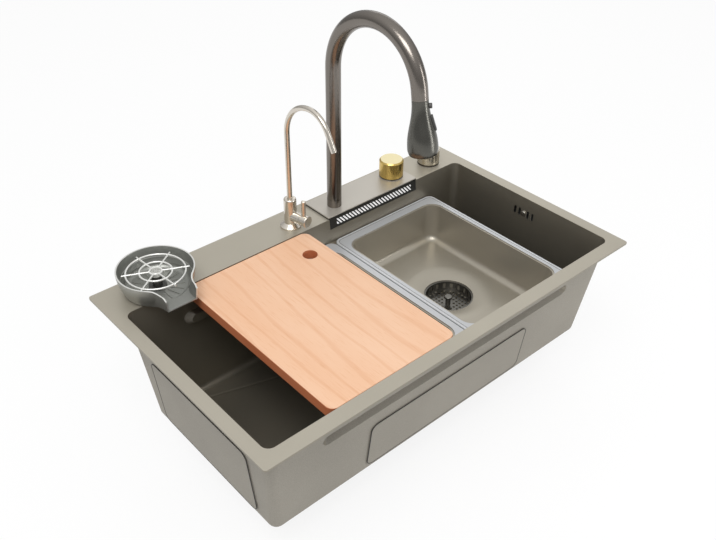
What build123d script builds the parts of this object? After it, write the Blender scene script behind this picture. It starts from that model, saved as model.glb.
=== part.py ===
from build123d import *
import math
import os

os.makedirs("parts", exist_ok=True)

# All sizes are in millimetres. The origin is the centre of the rim outline, on the worktop.
# +X runs along the sink to the right, +Y to the back ledge with the taps, +Z up.

# Sink bowl
sink_length = 750.0
sink_width = 450.0
rim_height = 3.0
sheet = 1.5
rim_corner = 5.0
front_rim = 24.3
back_ledge = 73.5
opening_length = 708.0
opening_width = sink_width - front_rim - back_ledge
opening_corner = 13.0
bowl_depth = 197.0
end_lean = 18.5
side_lean = 22.9
floor_round = 12.0
crease_width = 7.0
crease_depth = 0.5
crease_reach = 24.0

# Accessory ledge pressed into the front and back walls
ledge_drop = 45.0
ledge_reach = 13.0
ledge_length = 530.0
ledge_mouth = 25.0
ledge_tip = 13.0
ledge_tip_length = 505.0

# Clearances
rest_gap = 0.3
hole_clearance = 0.5
running_fit = 0.05

# Rim seal
seal_width = 8.0

# Sound pads: thickness, and length, top and bottom below the rim top
pad_thickness = 2.0
pad_corner = 12.0
side_pad_length = 338.0
side_pad_top = 91.0
end_pad_length = 240.0
end_pad_top = 56.0
pad_bottom = 182.0
floor_pad_length = 330.0
floor_pad_width = 200.0
floor_pad_x = -130.0

# Deck plate on its black base, on the back ledge
deck_left = 39.0
deck_length = 211.0
deck_width = 66.0
deck_corner = 2.0
deck_base_height = 2.2
deck_plate_thickness = 2.0
deck_round = 0.4

# Waterfall
grille_length = 207.0
grille_height = 19.8
grille_thickness = 1.2
slot_pitch = 7.0
slot_width = 3.9
slot_height = 11.6
slot_lean = 40.0
slots_left = 15.5
slots_right = 11.5
chamber_depth = 10.4
chamber_height = 45.0
chamber_wall = 1.5
inlet_radius = 4.3
inlet_wall = 1.2
inlet_length = 20.0
inlet_across = 60.0
inlet_inset = 0.4
slit_count = 3
slit_height = 1.2
slit_inset = 4.0

# Main tap
spout_x = 75.0
spout_y = sink_width / 2 - 46.0
spout_radius = 12.7
spout_wall = 1.5
spout_base_height = 15.0
spout_rise = 263.0
spout_first_bend = 104.0
spout_second_bend = 90.0
spout_turn = 171.5
spout_drop = 12.5
spigot_height = 18.0
shank_radius = 10.5
shank_bore = 7.0
shank_length = 44.2
nut_height = 8.0
nut_wall = 4.5
washer_height = 2.0

# Spray head
head_length = 84.0
head_radius = 23.4
head_foot_radius = 21.0
head_wall = 1.8
head_neck = 15.0
head_side = -46.2
face_height = 4.0
nub_radius = 1.1
nub_height = 1.2
button_radius = 4.0
button_along = 10.0
button_proud = 3.8
button_root = 9.5
rocker_length = 24.0
rocker_width = 9.0
rocker_along = 36.0
rocker_proud = 2.2
rocker_depth = 4.5
rocker_seat = 17.4
rocker_tilt = 13.0
rocker_pin = 0.8
rocker_pin_depth = 1.7
rocker_gap = 0.4

# Brass mixer knob
mixer_x = 221.5
mixer_y = sink_width / 2 - 35.3
mixer_ring_radius = 22.0
mixer_ring_height = 2.0
mixer_knob_radius = 22.4
mixer_knob_height = 31.6
mixer_bevel = 2.4
mixer_valve_radius = 17.0
mixer_stem_radius = 12.0
mixer_stem_height = 15.0
mixer_valve_depth = 59.2
port_radius = 5.0
port_bore = 3.4
port_length = 16.0
port_circle = 9.5

# Silver drain knob
drain_knob_x = sink_length / 2 - 60.7
drain_knob_y = sink_width / 2 - 40.3
drain_knob_radius = 20.8
drain_knob_height = 27.5
drain_ring_height = 3.0
groove_count = 7
groove_pitch = 3.0
groove_depth = 0.7
groove_height = 1.1
drain_control_radius = 14.0
drain_stem_radius = 8.0
drain_control_depth = 42.0
drain_gland_radius = 4.5
drain_gland_length = 14.0

# Drinking-water tap
filter_x = -20.5
filter_y = sink_width / 2 - 44.5
filter_cone_radius = 18.1
filter_cone_edge = 3.0
filter_cone_height = 8.6
filter_body_radius = 10.85
filter_body_height = 55.0
filter_tube_radius = 4.5
filter_tube_wall = 1.0
filter_socket_depth = 16.0
filter_rise = 178.0
filter_first_bend = 63.0
filter_second_bend = 44.0
filter_turn = 151.0
filter_drop = 31.0
barrel_heading = -78.0
barrel_height = 21.8
barrel_radius = 9.6
barrel_length = 24.0
spindle_radius = 4.0
lever_length = 10.0
cap_radius = 10.2
cap_length = 4.0
lever_pin_radius = 3.8
lever_pin_height = 38.0
filter_shank_radius = 5.5

# Cup rinser
rinser_x = 93.5 - sink_length / 2
rinser_y = sink_width / 2 - 48.0
rinser_height = 37.5
rinser_rim_radius = 60.0
rinser_foot_radius = 46.0
rinser_belly_radius = 53.0
rinser_belly_level = 8.0
rinser_wall = 2.2
rinser_floor = 3.5
rinser_spout_root = 41.0
rinser_spout_reach = 73.0
rinser_spout_turn = 40.0
rinser_root_rise = 3.0
rinser_lip_height = 10.0
rinser_lip_edge = 1.8
rinser_lip_width = 50.0
rinser_mouth_width = 57.0
rinser_cheek_height = 32.5
rinser_cheek_round = 9.0
rinser_shank_radius = 10.0
grille_level = 29.0
grille_wire = 3.0
grille_rings = (45.5, 25.0)
grille_spokes = 6
spoke_reach = 51.5
spoke_start = -25.5
nozzle_radius = 7.8
nozzle_hole = 0.7
rib_count = 18
rib_height = 1.2

# Cutting board
board_left = -249.0
board_length = 236.5
board_gap = 0.8
board_thickness = 17.0
board_below_rim = 0.5
board_corner = 13.0
board_round = 1.6
finger_radius = 12.5
finger_inset_x = 36.5
finger_inset_y = 57.6
batten_width = 12.0
batten_inset = 20.0
batten_edge = 8.0

# Wash basin and drain basket, both on the accessory ledge
tray_length = 239.0
tray_width = opening_width - 13.2
tray_rim_height = 2.7
tray_corner = 14.0
tray_side_flange = 11.5
tray_end_flange = 20.0
tray_step = 3.0
tray_step_depth = 1.3
tray_depth = 70.0
tray_sheet = 1.2
tray_lean = 9.0
tray_wall_corner = 22.0
tray_floor_round = 14.0
tray_gap = 1.5
basin_left = 43.0
basket_left = basin_left - tray_gap - tray_length
dish_radius = 76.0
dish_depth = 5.0
basin_drain_radius = 43.0
basin_drain_seat = 36.0
basin_drain_depth = 20.0
drain_x = 159.0
basket_slot_length = 26.0
basket_slot_width = 5.0
basket_slot_rows = 7
basket_slot_columns = 5
basket_slot_gap = 8.0
basket_slot_margin = 65.0

# Strainer basket in the wash basin's drain
strainer_sheet = 1.2
strainer_height = 18.0
strainer_rim = 1.5
strainer_hole = 4.2
strainer_pitch = 7.2
strainer_window_count = 20
strainer_window_width = 5.5
strainer_window_height = 11.0
strainer_post_radius = 4.5
strainer_post_height = 11.0
strainer_knob_radius = 7.0
strainer_knob_height = 5.0

# Main drain
drain_flange_radius = 57.0
drain_flange_height = 2.0
drain_cup_radius = 44.0
drain_cup_wall = 2.0
drain_cup_depth = 46.0
drain_nut_radius = 60.0
drain_nut_height = 9.0
tail_radius = 23.9
tail_wall = 3.0
tail_length = 26.0
plug_radius = 41.0
plug_height = 3.0
plug_stem_radius = 4.0
sieve_height = 3.0
sieve_hole = 5.0

# Overflow
overflow_slot_offsets = (-19.5, -9.3, 9.3, 19.5)
overflow_slot_width = 5.6
overflow_slot_top = 23.0
overflow_slot_height = 15.0
overflow_screw_radius = 4.6
overflow_box_length = 66.0
overflow_box_height = 44.0
overflow_box_depth = 13.0
overflow_box_corner = 6.0
overflow_box_wall = 2.0
overflow_gasket = 2.0
overflow_box_top = 8.0
overflow_thread_radius = 2.4
overflow_spigot_radius = 5.5
overflow_spigot_wall = 1.6
overflow_spigot_length = 22.0
overflow_collar_radius = 6.3
overflow_collar_length = 3.0

# Places worked out from the sizes above
rim_top = rim_height
opening_front = front_rim - sink_width / 2
opening_back = opening_front + opening_width
opening_y = (opening_front + opening_back) / 2
drain_y = opening_y - 5.4
overflow_y = opening_y
bowl_bottom = rim_top - bowl_depth
floor_top = bowl_bottom + sheet
end_slope = end_lean / bowl_depth
side_slope = side_lean / bowl_depth
ledge_top = rim_top - ledge_drop
rim_under = rim_height - sheet
deck_base_top = rim_top + deck_base_height
deck_top = deck_base_top + deck_plate_thickness
deck_x = deck_left + deck_length / 2
deck_y = opening_back + deck_width / 2
tray_rim_top = ledge_top + rest_gap + tray_rim_height
board_width = opening_width - 2 * board_gap
board_top = rim_top - board_below_rim
board_bottom = board_top - board_thickness
up = (Align.CENTER, Align.CENTER, Align.MIN)

pieces = {}


# Shapes used by several pieces

def rod(radius, low, high, bore=0.0):
    """Round bar or tube on the Z axis between two heights."""
    solid = Pos(0, 0, low) * Cylinder(radius, high - low, align=up)
    if bore:
        solid -= Pos(0, 0, low) * Cylinder(bore, high - low, align=up)
    return solid


def turned(*points):
    """Solid of revolution about Z from (radius, height) points."""
    return revolve(Plane.XZ * make_face(Polyline(*points, close=True)), axis=Axis.Z)


def hex_nut(bore, low, high, wall=nut_wall):
    """Hexagonal nut with a round collar against its washer."""
    height = high - low
    body = Pos(0, 0, low) * extrude(RegularPolygon(bore + wall, 6), amount=height)
    collar = rod(bore + wall, high - height / 4, high)
    return body + collar - rod(bore, low, high)


def wall_plane(side_x, side_y, grow=0.0):
    """Plane on a bowl wall: X along the wall, Y up it, Z outward, origin at the rim's top."""
    slope = end_slope if side_x else side_slope
    point = (
        side_x * (opening_length / 2 + grow),
        opening_y + side_y * (opening_width / 2 + grow),
        rim_top,
    )
    return Plane(origin=point, x_dir=(-side_y, side_x, 0), z_dir=(side_x, side_y, -slope))


def bowl_section(height, grow, corner):
    """Level section through the leaning walls at a height."""
    depth = rim_top - height
    length = opening_length - 2 * end_slope * depth + 2 * grow
    width = opening_width - 2 * side_slope * depth + 2 * grow
    return (Pos(0, opening_y, height) * RectangleRounded(length, width, corner + grow)).face()


def bowl_block(low, high, grow):
    """Solid between two level sections, with a rounded foot."""
    sections = [bowl_section(high, grow, opening_corner), bowl_section(low, grow, opening_corner)]
    block = loft(sections, ruled=True)
    foot = block.faces().sort_by(Axis.Z)[0]
    return fillet(foot.edges(), floor_round - sheet + grow)


def ledge_form(grow):
    """Form pressed into the front wall; grow adds the sheet for the inside face."""
    start = opening_front - sheet - 0.4
    middle_mouth = ledge_top - sheet - ledge_mouth / 2
    middle_tip = ledge_top - sheet - ledge_tip / 2
    wall_there = opening_front + side_slope * ledge_drop
    end = wall_there + ledge_reach - sheet + grow
    outer = Plane((0, start, middle_mouth), x_dir=(1, 0, 0), z_dir=(0, 1, 0))
    inner = Plane((0, end, middle_tip), x_dir=(1, 0, 0), z_dir=(0, 1, 0))
    mouth = outer * SlotOverall(ledge_length + 2 * grow, ledge_mouth + 2 * grow)
    tip = inner * SlotOverall(ledge_tip_length + 2 * grow, ledge_tip + 2 * grow)
    return loft([mouth.face(), tip.face()], ruled=True)


def opposite(shape):
    """The same shape on the back wall."""
    return mirror(shape, about=Plane((0, opening_y, 0), z_dir=(0, 1, 0)))


def at(x, y, shape):
    """Moves a shape made on the Z axis to its place on the deck."""
    return Pos(x, y, 0) * shape


# Sink bowl

def floor_crease(corner_x, corner_y):
    """Shallow V groove in the bowl floor, from the drain towards one corner."""
    reach_x = corner_x - drain_x
    reach_y = corner_y - drain_y
    length = math.hypot(reach_x, reach_y)
    heading = math.degrees(math.atan2(reach_y, reach_x))
    start = drain_flange_radius + 4
    points = [(-crease_width / 2, 0), (crease_width / 2, 0), (0, -crease_depth)]
    section = Plane.YZ * make_face(Polyline(*points, close=True))
    groove = extrude(section, amount=length - crease_reach - start)
    return Pos(drain_x, drain_y, floor_top) * Rot(0, 0, heading) * Pos(start, 0, 0) * groove


def deck_holes():
    """Tap holes through the back ledge and the deck plate."""
    places = (
        (spout_x, spout_y, shank_radius),
        (mixer_x, mixer_y, mixer_valve_radius),
        (drain_knob_x, drain_knob_y, drain_control_radius),
        (filter_x, filter_y, filter_shank_radius),
        (rinser_x, rinser_y, rinser_shank_radius),
    )
    holes = []
    for x, y, radius in places:
        holes.append(at(x, y, rod(radius + hole_clearance, -5, deck_top + 5)))
    return holes


def overflow_cuts():
    """Overflow slots and screw hole through the right wall."""
    wall = wall_plane(1, 0)
    middle = -(overflow_slot_top + overflow_slot_height / 2)
    outline = SlotOverall(overflow_slot_height, overflow_slot_width, rotation=90)
    slot = extrude(outline, amount=12, both=True)
    screw_hole = Cylinder(overflow_thread_radius + rest_gap, 24)
    cuts = wall * Pos(overflow_y - opening_y, middle, 0) * screw_hole
    for offset in overflow_slot_offsets:
        cuts += wall * Pos(overflow_y - opening_y + offset, middle, 0) * slot
    return cuts


def waterfall_notch():
    """Cut in the back wall and rim for the grille and its water chamber."""
    depth = grille_thickness + chamber_depth + 2 * rest_gap
    beyond = 6.0
    length = grille_length + 2 * rest_gap
    align = (Align.CENTER, Align.MAX, Align.MIN)
    block = Box(length, grille_height + beyond, depth + beyond, align=align)
    return wall_plane(0, 1) * Pos(-deck_x, beyond - rest_gap, -beyond) * block


def make_bowl():
    plate = extrude(RectangleRounded(sink_length, sink_width, rim_corner), amount=rim_height)
    pocket = extrude(
        RectangleRounded(sink_length - 2 * sheet, sink_width - 2 * sheet, rim_corner - sheet),
        amount=rim_under,
    )
    outside = bowl_block(bowl_bottom, rim_top, sheet)
    press = ledge_form(0)
    press_inside = ledge_form(sheet)
    shell = outside + (plate - pocket)
    shell -= press
    shell -= opposite(press)
    cavity = bowl_block(floor_top, rim_top, 0)
    cavity -= press_inside
    cavity -= opposite(press_inside)
    bowl = shell - cavity
    half_x = opening_length / 2 - end_lean
    half_y = opening_width / 2 - side_lean
    for side_x in (-1, 1):
        for side_y in (-1, 1):
            bowl -= floor_crease(side_x * half_x, opening_y + side_y * half_y)
    bowl -= at(drain_x, drain_y, rod(drain_cup_radius + hole_clearance, bowl_bottom - 5, floor_top + 5))
    bowl -= deck_holes()
    bowl -= overflow_cuts()
    bowl -= waterfall_notch()
    return bowl


pieces["sink_bowl"] = make_bowl()


# Rim seal in the channel under the rim

def make_seal():
    inset = sheet + rest_gap
    outer = RectangleRounded(sink_length - 2 * inset, sink_width - 2 * inset, rim_corner)
    inner = RectangleRounded(
        sink_length - 2 * inset - 2 * seal_width, sink_width - 2 * inset - 2 * seal_width, rim_corner
    )
    return extrude(outer - inner, amount=rim_under)


pieces["rim_seal"] = make_seal()


# Sound pads on the outside of the bowl

def wall_pad(side_x, side_y, length, top, shift=0.0):
    height = pad_bottom - top
    pad = extrude(RectangleRounded(length, height, pad_corner), amount=pad_thickness)
    return wall_plane(side_x, side_y, sheet) * Pos(shift, -(top + height / 2), 0) * pad


def make_pads():
    floor_outline = RectangleRounded(floor_pad_length, floor_pad_width, pad_corner)
    floor_pad = extrude(floor_outline, amount=-pad_thickness)
    pads = [
        wall_pad(0, -1, side_pad_length, side_pad_top),
        wall_pad(0, 1, side_pad_length, side_pad_top),
        wall_pad(-1, 0, end_pad_length, end_pad_top),
        wall_pad(1, 0, end_pad_length, side_pad_top),
        Pos(floor_pad_x, opening_y, bowl_bottom) * floor_pad,
    ]
    return Compound(children=[pad.solid() for pad in pads])


pieces["sound_pads"] = make_pads()


# Deck plate: a thin bright sheet on a black base that carries on the face of the grille

def deck_slab(low, thickness):
    slab = extrude(RectangleRounded(deck_length, deck_width, deck_corner), amount=thickness)
    return Pos(deck_x, deck_y, low) * slab


def make_deck_plate():
    plate = deck_slab(deck_base_top, deck_plate_thickness)
    plate = fillet(plate.faces().sort_by(Axis.Z)[-1].edges(), deck_round)
    return plate - deck_holes()


pieces["deck_base"] = deck_slab(rim_top, deck_base_height) - deck_holes()
pieces["deck_plate"] = make_deck_plate()


# Waterfall: grille, flow straightener and water chamber

fall_plane = wall_plane(0, 1)


def fall(across, drop, outward, shape):
    """Places a shape on the back wall, by its distance down the wall and outward."""
    return fall_plane * Pos(across - deck_x, -drop, outward) * shape


def slanted_slot(across, lean):
    """One stripe of the grille, leaning to the left at its top."""
    half = slot_width / 2
    high = slot_height / 2
    points = [
        (across + lean - half, high),
        (across + lean + half, high),
        (across - lean + half, -high),
        (across - lean - half, -high),
    ]
    return extrude(make_face(Polyline(*points, close=True)), amount=grille_thickness + 2)


def make_grille():
    """Grille with leaning stripes, cut off straight at both ends of their band."""
    front = Box(grille_length, grille_height - rest_gap, grille_thickness, align=up)
    middle = (grille_height + rest_gap) / 2
    grille = fall(0, middle, 0, front)
    lean = slot_height / 2 * math.tan(math.radians(slot_lean))
    right = slots_right - grille_length / 2
    left = grille_length / 2 - slots_left
    band = Pos((left + right) / 2, 0, 0) * Box(left - right, slot_height, 20)
    across = right - lean + slot_pitch / 2
    while across < left + lean:
        stripe = slanted_slot(across, lean) & band
        grille -= fall(0, middle, -1, stripe)
        across += slot_pitch
    return grille


pieces["waterfall_grille"] = make_grille()

chamber_length = grille_length - 2 * rest_gap
chamber_front = grille_thickness + rest_gap


def make_chamber():
    middle = rest_gap + chamber_height / 2
    foot = rest_gap + chamber_height
    block = Box(chamber_length, chamber_height, chamber_depth, align=up)
    room = Box(
        chamber_length - 2 * chamber_wall,
        chamber_height - 2 * chamber_wall,
        chamber_depth - 2 * chamber_wall,
        align=up,
    )
    window = grille_height - 2 * chamber_wall
    mouth = Box(chamber_length - 2 * chamber_wall, window, chamber_wall + 2, align=up)
    body = fall(0, middle, chamber_front, block)
    body -= fall(0, middle, chamber_front + chamber_wall, room)
    body -= fall(0, grille_height / 2 + rest_gap, chamber_front - 1, mouth)
    outward = chamber_front + chamber_depth - inlet_radius - inlet_inset
    bore_length = inlet_length + 2 * chamber_wall
    inlet = Rot(90, 0, 0) * Cylinder(inlet_radius, inlet_length, align=up)
    bore = Rot(90, 0, 0) * Cylinder(inlet_radius - inlet_wall, bore_length, align=up)
    body += fall(-inlet_across, foot, outward, inlet)
    return body - fall(-inlet_across, foot - 2 * chamber_wall, outward, bore)


pieces["waterfall_chamber"] = make_chamber()


def make_straightener():
    height = grille_height - 2 * chamber_wall - 2 * rest_gap
    length = chamber_length - 2 * chamber_wall - 2 * rest_gap
    block = Box(length, height, chamber_depth / 2, align=up)
    straightener = fall(0, grille_height / 2 + rest_gap, chamber_front - 0.1, block)
    for number in range(slit_count):
        drop = grille_height / 2 + rest_gap + (number - (slit_count - 1) / 2) * height / slit_count
        slit = Box(length - 2 * slit_inset, slit_height, chamber_depth, align=up)
        straightener -= fall(0, drop, chamber_front + chamber_depth / 4, slit)
    return straightener


pieces["flow_straightener"] = make_straightener()


# Fixings shared by the taps: a shank under the deck with its washer and nut

def washer(radius, outer):
    return rod(outer, rim_under - washer_height, rim_under, radius + hole_clearance)


def shank(radius, low, high, bore):
    """Threaded shank: its free end takes the hose, the rest is turned down for the nut."""
    free_end = rim_under - washer_height - nut_height - hole_clearance
    return rod(radius, low, free_end, bore) + rod(radius - 0.2, free_end, high, bore)


def fixing_nut(radius, wall=nut_wall):
    top = rim_under - washer_height
    return hex_nut(radius, top - nut_height, top, wall)


# Main tap: base collar, shank and swivelling spout

def neck_path(base, rise, first_bend, second_bend, turn, drop):
    """Gooseneck line in its own plane: X forward, Y up."""
    column = Line((0, base), (0, rise))
    first = JernArc(column @ 1, column % 1, first_bend, -90)
    second = JernArc(first @ 1, first % 1, second_bend, -(turn - 90))
    last = Line(second @ 1, (second @ 1) + (second % 1) * drop)
    return column, first, second, last


def neck_tube(plane, path, radius, bore):
    """Tube along a gooseneck line, open at both ends."""
    line = plane * Curve(children=list(path))
    wire = Wire([edge for edge in line.edges()])
    start = Plane(origin=wire @ 0, z_dir=wire % 0)
    outside = sweep(start * Circle(radius), path=wire)
    inside = sweep(start * Circle(bore), path=wire)
    return outside - inside


spout_plane = Plane((spout_x, spout_y, 0), x_dir=(0, -1, 0), z_dir=(-1, 0, 0))
spout_seam = deck_top + spout_base_height
spout_bore = spout_radius - spout_wall


def make_spout_base():
    collar = rod(spout_radius, deck_top, spout_seam)
    spigot = rod(spout_bore - running_fit, spout_seam, spout_seam + spigot_height)
    base = collar + spigot - rod(shank_bore, deck_top, spout_seam + spigot_height)
    return at(spout_x, spout_y, base)


pieces["spout_base"] = make_spout_base()
pieces["spout_shank"] = at(
    spout_x, spout_y, shank(shank_radius, deck_top - shank_length, deck_top, shank_bore)
)
pieces["spout_washer"] = at(spout_x, spout_y, washer(shank_radius, 15.0))
pieces["spout_nut"] = at(spout_x, spout_y, fixing_nut(shank_radius, 4.0))

spout_path = neck_path(
    spout_seam + rest_gap, spout_rise, spout_first_bend, spout_second_bend, spout_turn, spout_drop
)
pieces["spout"] = neck_tube(spout_plane, spout_path, spout_radius, spout_bore)


# Spray head: its own frame has Z down the head and X towards the controls

spout_end = spout_path[3] @ 1
spout_way = spout_path[3] % 1
head_down = Vector(0, -spout_way.X, spout_way.Y)
head_start = Vector(spout_x, spout_y - spout_end.X, spout_end.Y) + head_down * rest_gap
head_towards = Vector(math.cos(math.radians(head_side)), math.sin(math.radians(head_side)), 0)
head_x = (head_towards - head_down * head_towards.dot(head_down)).normalized()
head_plane = Plane(origin=head_start, x_dir=head_x, z_dir=head_down)


def head_profile(inset):
    """Side of the head as a smooth curve from the neck to the foot."""
    points = [
        (spout_radius - inset, 0),
        (spout_radius + 1.3 - inset, head_length * 0.23),
        (head_radius - 2.7 - inset, head_length * 0.59),
        (head_radius - inset, head_length * 0.88),
    ]
    return Spline(*points, tangents=[(0, 1), (0.02, 1)])


def head_block(inset):
    """The whole head turned from its side, or its hollow when inset by the wall."""
    side = head_profile(inset)
    end = side @ 1
    neck_radius = spout_radius - inset
    foot_radius = head_foot_radius - inset
    round_middle = (end.X - 0.6, end.Y + (head_length - end.Y) * 0.55)
    foot = ThreePointArc(end, round_middle, (foot_radius, head_length))
    close = Polyline((foot_radius, head_length), (0, head_length), (0, 0), (neck_radius, 0))
    return revolve(Plane.XZ * make_face([side, foot, close]), axis=Axis.Z)


def rocker_place(shape):
    """Places a shape on the head's flank, X outward, with its seat level at 0."""
    return Pos(rocker_seat, 0, rocker_along) * Rot(0, rocker_tilt, 0) * shape


def make_head():
    block = head_block(0)
    hollow = head_block(head_wall)
    neck = rod(spout_bore - running_fit, -head_neck, 0)
    head = block - (hollow & Pos(0, 0, 3) * Cylinder(60, head_length, align=up))
    head += neck
    head -= rod(shank_bore, -head_neck - 1, 5)
    head -= Pos(0, 0, button_along) * Rot(0, 90, 0) * Cylinder(button_radius + 0.1, 40, align=up)
    pocket = Box(20, rocker_width + 2 * rocker_gap, rocker_length + 2 * rocker_gap)
    head -= rocker_place(pocket)
    pin = Rot(90, 0, 0) * Cylinder(rocker_pin + running_fit, rocker_width + 4)
    head -= rocker_place(Pos(-rocker_pin_depth, 0, 0) * pin)
    return head_plane * head


pieces["spray_head"] = make_head()


def make_spray_face():
    disc = rod(head_foot_radius - head_wall - 0.1, head_length - face_height, head_length)
    for ring, count in ((0.0, 1), (6.0, 6), (12.0, 12)):
        for number in range(count):
            angle = math.radians(360 * number / count)
            nub = Pos(ring * math.cos(angle), ring * math.sin(angle), head_length)
            disc += nub * Cone(nub_radius, nub_radius * 0.6, nub_height, align=up)
    return head_plane * disc


pieces["spray_face"] = make_spray_face()


def make_button():
    length = spout_radius + 0.6 + button_proud - button_root
    stem = Cylinder(button_radius, length, align=up)
    stem = fillet(stem.faces().sort_by(Axis.Z)[-1].edges(), 1.2)
    return head_plane * Pos(button_root, 0, button_along) * Rot(0, 90, 0) * stem


pieces["spray_button"] = make_button()


def make_rocker():
    slab = Box(rocker_depth, rocker_width, rocker_length)
    slab = fillet(slab.edges().filter_by(Axis.X), 2.0)
    slab = Pos(rocker_proud - rocker_depth / 2, 0, 0) * slab
    slab = fillet(slab.faces().sort_by(Axis.X)[-1].edges(), 0.8)
    pin = Rot(90, 0, 0) * Cylinder(rocker_pin, rocker_width + 3)
    return head_plane * rocker_place(slab + Pos(-rocker_pin_depth, 0, 0) * pin)


pieces["spray_rocker"] = make_rocker()

def make_connector():
    bore = 4.0
    inside_head = rod(shank_bore - 0.02, -head_neck, 3, bore)
    inside_spout = rod(8.6, -head_neck - 10, -head_neck, bore)
    return head_plane * (inside_head + inside_spout)


pieces["spray_connector"] = make_connector()


# Mixer: dark ring, brass knob, valve under the deck

def make_mixer_knob():
    low = deck_top + mixer_ring_height + rest_gap
    high = low + mixer_knob_height
    points = [
        (0, low),
        (mixer_knob_radius, low),
        (mixer_knob_radius, high - mixer_bevel),
        (mixer_knob_radius - mixer_bevel, high),
        (0, high),
    ]
    socket_top = deck_top + mixer_stem_height + 2 * rest_gap
    knob = turned(*points) - rod(mixer_stem_radius + running_fit, low - 1, socket_top)
    return at(mixer_x, mixer_y, knob)


pieces["mixer_knob"] = make_mixer_knob()
pieces["mixer_ring"] = at(
    mixer_x, mixer_y,
    rod(mixer_ring_radius, deck_top, deck_top + mixer_ring_height, mixer_stem_radius + hole_clearance),
)


def make_mixer_valve():
    low = deck_top - mixer_valve_depth
    body = rod(mixer_valve_radius, low, deck_top)
    body += rod(mixer_stem_radius, deck_top, deck_top + mixer_stem_height)
    for number in range(3):
        port = rod(port_radius, low - port_length, low, port_bore)
        body += Rot(0, 0, 90 + 120 * number) * Pos(port_circle, 0, 0) * port
    return at(mixer_x, mixer_y, body)


pieces["mixer_valve"] = make_mixer_valve()
pieces["mixer_washer"] = at(mixer_x, mixer_y, washer(mixer_valve_radius, 23.5))
pieces["mixer_nut"] = at(mixer_x, mixer_y, fixing_nut(mixer_valve_radius, 6.0))


# Drain control: dark ring, grooved knob and its body under the ledge

def make_drain_knob():
    low = rim_top + drain_ring_height + rest_gap
    high = low + drain_knob_height
    knob = rod(drain_knob_radius, low, high)
    knob = fillet(knob.faces().sort_by(Axis.Z)[-1].edges(), 1.0)
    for number in range(groove_count):
        level = low + 3.0 + number * groove_pitch
        knob -= rod(drain_knob_radius + 1, level, level + groove_height, drain_knob_radius - groove_depth)
    knob -= rod(drain_stem_radius + running_fit, low - 1, low + 16)
    return at(drain_knob_x, drain_knob_y, knob)


pieces["drain_knob"] = make_drain_knob()
pieces["drain_knob_ring"] = at(
    drain_knob_x, drain_knob_y,
    rod(drain_knob_radius, rim_top, rim_top + drain_ring_height, drain_stem_radius + hole_clearance),
)


def make_drain_control():
    low = rim_top - drain_control_depth
    body = rod(drain_control_radius, low, rim_top)
    body += rod(drain_stem_radius, rim_top, rim_top + drain_ring_height + 15)
    gland = rod(drain_gland_radius, low - drain_gland_length, low)
    return at(drain_knob_x, drain_knob_y, body + gland)


pieces["drain_control"] = make_drain_control()
pieces["drain_control_nut"] = at(
    drain_knob_x, drain_knob_y,
    hex_nut(drain_control_radius, rim_under - nut_height, rim_under, 6.0),
)


# Drinking-water tap

filter_seat = rim_top + filter_cone_height
filter_top = rim_top + filter_body_height

pieces["filter_flange"] = at(
    filter_x, filter_y,
    turned(
        (filter_shank_radius + hole_clearance, rim_top),
        (filter_cone_radius, rim_top),
        (filter_cone_radius, rim_top + filter_cone_edge),
        (filter_body_radius, filter_seat),
        (filter_shank_radius + hole_clearance, filter_seat),
    ),
)


def make_filter_body():
    body = rod(filter_body_radius, filter_seat, filter_top)
    body = fillet(body.faces().sort_by(Axis.Z)[-1].edges(), 3.0)
    body -= rod(filter_tube_radius + running_fit, filter_top - filter_socket_depth, filter_top + 1)
    return at(filter_x, filter_y, body)


pieces["filter_body"] = make_filter_body()
pieces["filter_shank"] = at(
    filter_x, filter_y, shank(filter_shank_radius, deck_top - shank_length, filter_seat, 3.0)
)
pieces["filter_washer"] = at(filter_x, filter_y, washer(filter_shank_radius, 14.0))
pieces["filter_nut"] = at(filter_x, filter_y, fixing_nut(filter_shank_radius, 4.0))

filter_plane = Plane((filter_x, filter_y, 0), x_dir=(0, -1, 0), z_dir=(-1, 0, 0))
filter_path = neck_path(
    filter_top - filter_socket_depth + rest_gap,
    filter_rise, filter_first_bend, filter_second_bend, filter_turn, filter_drop,
)
pieces["filter_spout"] = neck_tube(
    filter_plane, filter_path, filter_tube_radius, filter_tube_radius - filter_tube_wall
)

# The barrel's frame has Z along the barrel, outward from the tap's body, and X up.
barrel_out = Vector(math.cos(math.radians(barrel_heading)), math.sin(math.radians(barrel_heading)), 0)
barrel_plane = Plane(
    origin=(filter_x, filter_y, rim_top + barrel_height), x_dir=(0, 0, 1), z_dir=barrel_out
)
lever_start = barrel_length + rest_gap
lever_end = lever_start + lever_length


def make_barrel():
    barrel = rod(barrel_radius, filter_body_radius - 4, barrel_length)
    barrel += rod(spindle_radius, barrel_length, lever_end + rest_gap)
    barrel = barrel_plane * barrel
    return barrel - at(filter_x, filter_y, rod(filter_body_radius, filter_seat, filter_top))


pieces["filter_barrel"] = make_barrel()


def make_lever():
    sleeve = rod(barrel_radius, lever_start, lever_end)
    pin = Rot(0, 90, 0) * Cylinder(lever_pin_radius, lever_pin_height, align=up)
    pin = fillet(pin.faces().sort_by(Axis.X)[-1].edges(), 1.6)
    lever = sleeve + Pos(0, 0, (lever_start + lever_end) / 2) * pin
    lever -= rod(spindle_radius + running_fit, lever_start - 1, lever_end + 1)
    return barrel_plane * lever


pieces["filter_lever"] = make_lever()


def make_cap():
    cap = rod(cap_radius, lever_end + rest_gap, lever_end + rest_gap + cap_length)
    cap = fillet(cap.faces().sort_by(Axis.Z)[-1].edges(), 1.4)
    return barrel_plane * cap


pieces["filter_cap"] = make_cap()


# Cup rinser

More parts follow.
